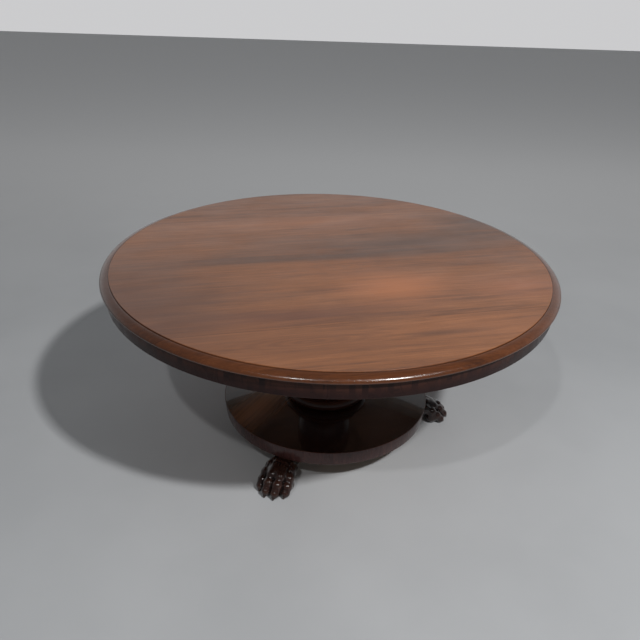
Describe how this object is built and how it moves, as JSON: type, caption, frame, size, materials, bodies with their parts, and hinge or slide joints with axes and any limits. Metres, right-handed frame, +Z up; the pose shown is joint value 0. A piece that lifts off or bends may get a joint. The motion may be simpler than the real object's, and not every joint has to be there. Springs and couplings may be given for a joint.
{
  "type": "round pedestal table",
  "caption": "Low round mahogany table: moulded circular top that tips on a pivot block, turned column, round platform base and carved lion-paw feet.",
  "frame": {"origin": "on the floor, under the middle of the column, at the bottom of the feet", "axes": "+Z up; +X to the right and +Y away from someone standing at the front; the grain of the top runs 14 degrees anticlockwise from +X"},
  "size_m": [1.24, 1.2399, 0.555],
  "materials": {
    "top_mahogany": "French polished, glossy, streaked grain",
    "veneer_mahogany": "French polished, very glossy, dark red-brown",
    "turned_mahogany": "French polished, very glossy, dark",
    "carved_mahogany": "carved and polished, very glossy, darkened in the hollows",
    "plain_mahogany": "planed and oiled, matt, never polished",
    "softwood": "planed pine, matt, aged",
    "brass": "polished and slightly tarnished",
    "iron": "dull, dark, lightly rusted"
  },
  "bodies": {
    "stand": {"keeper_plate": "brass", "keeper_screws": "brass", "pivot_block": "plain_mahogany", "pivot_pin_left": "iron", "pivot_pin_right": "iron", "column_shaft": "turned_mahogany", "column_base_ring": "turned_mahogany", "column_top_collar": "turned_mahogany", "column_foot_wedge": "softwood", "column_top_wedge": "softwood", "platform_board_front": "softwood", "platform_board_middle": "softwood", "platform_board_back": "softwood", "platform_face_veneer": "veneer_mahogany", "platform_edge_veneer": "veneer_mahogany", "platform_batten_left": "plain_mahogany", "platform_batten_right": "plain_mahogany", "batten_screws": "iron", "paw_right": "carved_mahogany", "paw_rear": "carved_mahogany", "paw_front": "carved_mahogany", "paw_screws": "iron"},
    "tip_top": {"top_board_front": "top_mahogany", "top_board_mid_front": "top_mahogany", "top_board_mid_back": "top_mahogany", "top_board_back": "top_mahogany", "frieze_segment_1": "softwood", "frieze_segment_2": "softwood", "frieze_segment_3": "softwood", "frieze_segment_4": "softwood", "frieze_segment_5": "softwood", "frieze_segment_6": "softwood", "frieze_segment_7": "softwood", "frieze_segment_8": "softwood", "frieze_veneer": "veneer_mahogany", "bearer_left": "plain_mahogany", "bearer_right": "plain_mahogany", "bearer_screws": "iron", "catch_plate": "brass", "catch_screws": "brass"},
    "bolt": {"catch_bolt": "brass", "catch_knob": "brass"}
  },
  "joints": [
    {"name": "top_tilt", "type": "hinge", "parent": "stand", "child": "tip_top", "pos_m": [0.04596, -0.18436, 0.513], "axis": [0.9703, 0.2419, 0], "range_deg": [0, 70]},
    {"name": "catch_slide", "type": "slide", "parent": "tip_top", "child": "bolt", "axis": [0.2419, -0.9703, 0], "range_m": [0, 0.012]}
  ]
}
